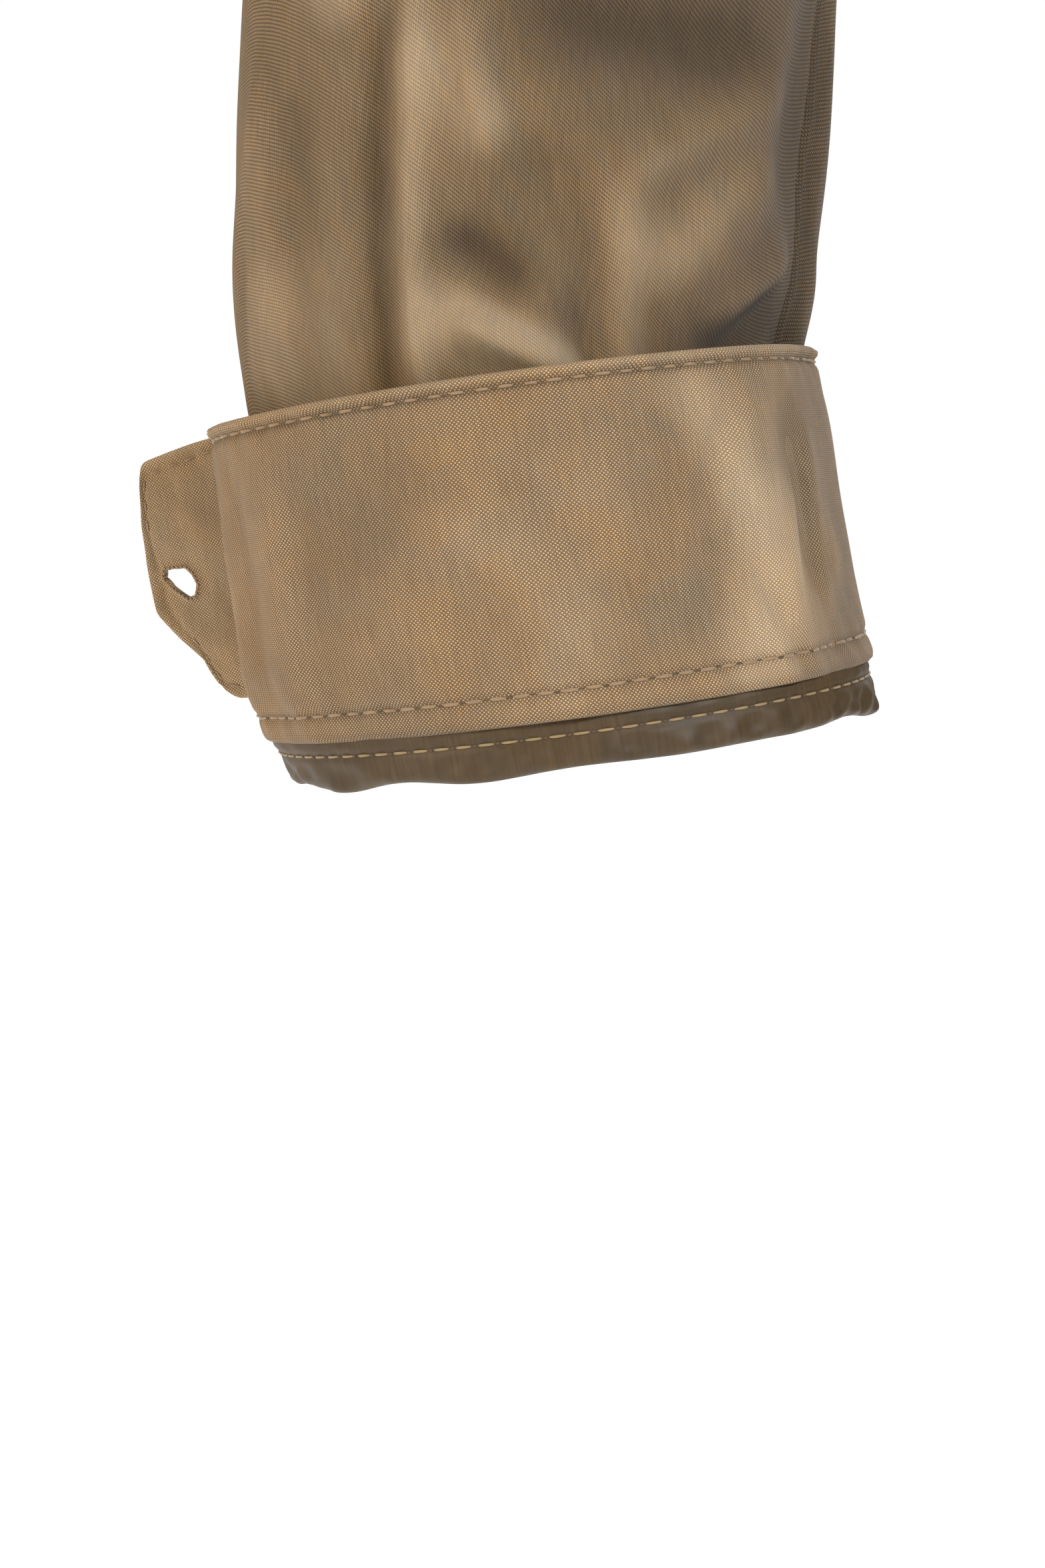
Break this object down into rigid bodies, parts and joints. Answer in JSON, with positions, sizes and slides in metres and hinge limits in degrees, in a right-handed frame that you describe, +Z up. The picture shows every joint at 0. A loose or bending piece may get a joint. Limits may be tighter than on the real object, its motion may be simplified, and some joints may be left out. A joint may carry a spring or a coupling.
{
  "type": "beekeeping jacket",
  "caption": "Lined hip-length woven jacket with front zip, fold-down collar, flapped pockets and turned-back sleeve cuffs, each with a buttonhole tab.",
  "frame": {"origin": "middle of the neck, level with the two points where the shoulder seams meet the collar, where a hanger or a dress form holds the jacket up", "axes": "+Z up; the wearer faces -Y, so the front zip is on the -Y side; +X is the wearer's left"},
  "size_m": [0.8348, 0.266, 0.7112],
  "materials": {
    "canvas": "two-tone plain weave, soft and slightly crumpled",
    "satin": "plain satin lining",
    "zip_tape": "woven tape",
    "brass": "aged brass",
    "horn": "dark horn-look button"
  },
  "bodies": {
    "body": {"back_panel": "canvas", "back_lining": "satin", "left_front_panel": "canvas", "left_front_lining": "satin", "right_front_panel": "canvas", "right_front_lining": "satin", "collar_stand": "canvas", "collar_leaf": "canvas", "hanging_loop": "canvas", "left_zip_tape": "zip_tape", "left_zip_teeth": "brass", "left_zip_top_stop": "brass", "right_zip_tape": "zip_tape", "right_zip_teeth": "brass", "right_zip_top_stop": "brass", "zip_retainer_box": "brass", "left_hip_pocket": "canvas", "left_hip_pocket_stud": "brass", "right_hip_pocket": "canvas", "right_hip_pocket_stud": "brass", "left_chest_pocket": "canvas", "left_chest_pocket_stud": "brass", "left_sleeve_head": "canvas", "left_sleeve_head_lining": "satin", "right_sleeve_head": "canvas", "right_sleeve_head_lining": "satin"},
    "left_arm": {"left_top_sleeve": "canvas", "left_under_sleeve": "canvas", "left_sleeve_lining": "satin", "left_turned_cuff": "canvas", "left_cuff_fold_lining": "satin", "left_cuff_button": "horn"},
    "left_tab": {"left_cuff_tab": "canvas"},
    "right_arm": {"right_top_sleeve": "canvas", "right_under_sleeve": "canvas", "right_sleeve_lining": "satin", "right_turned_cuff": "canvas", "right_cuff_fold_lining": "satin", "right_cuff_button": "horn"},
    "right_tab": {"right_cuff_tab": "canvas"},
    "slider": {"zip_slider": "brass"},
    "pull": {"zip_pull": "brass"},
    "left_hip_flap": {"left_hip_pocket_flap": "canvas", "left_hip_pocket_snap_cap": "brass"},
    "right_hip_flap": {"right_hip_pocket_flap": "canvas", "right_hip_pocket_snap_cap": "brass"},
    "left_chest_flap": {"left_chest_pocket_flap": "canvas", "left_chest_pocket_snap_cap": "brass"}
  },
  "joints": [
    {"name": "left_sleeve_swing", "type": "hinge", "parent": "body", "child": "left_arm", "pos_m": [0.205, 0, -0.1], "axis": [0, -1, 0], "range_deg": [0, 60], "deforming": ["left_sleeve_head", "left_sleeve_head_lining"]},
    {"name": "left_cuff_tab_hinge", "type": "hinge", "parent": "left_arm", "child": "left_tab", "pos_m": [0.37, 0.0371, -0.6399], "axis": [0.1945, 0, 0.9809], "range_deg": [-30, 120]},
    {"name": "right_sleeve_swing", "type": "hinge", "parent": "body", "child": "right_arm", "pos_m": [-0.205, 0, -0.1], "axis": [0, 1, 0], "range_deg": [0, 60], "deforming": ["right_sleeve_head", "right_sleeve_head_lining"]},
    {"name": "right_cuff_tab_hinge", "type": "hinge", "parent": "right_arm", "child": "right_tab", "pos_m": [-0.37, 0.0371, -0.6399], "axis": [0.1945, 0, -0.9809], "range_deg": [-30, 120]},
    {"name": "zip_slide", "type": "slide", "parent": "body", "child": "slider", "axis": [0, -0.0771, -0.997], "range_m": [0, 0.5605]},
    {"name": "zip_pull_hinge", "type": "hinge", "parent": "slider", "child": "pull", "pos_m": [0, -0.0927, -0.09798], "axis": [-1, 0, 0], "range_deg": [0, 150]},
    {"name": "left_hip_flap_hinge", "type": "hinge", "parent": "body", "child": "left_hip_flap", "pos_m": [0.1028, -0.11815, -0.474], "axis": [-0.9678, -0.2517, 0], "range_deg": [0, 150]},
    {"name": "right_hip_flap_hinge", "type": "hinge", "parent": "body", "child": "right_hip_flap", "pos_m": [-0.1028, -0.11815, -0.474], "axis": [-0.9678, 0.2517, 0], "range_deg": [0, 150]},
    {"name": "left_chest_flap_hinge", "type": "hinge", "parent": "body", "child": "left_chest_flap", "pos_m": [0.09741, -0.1007, -0.212], "axis": [-0.9844, -0.1761, 0], "range_deg": [0, 150]}
  ]
}
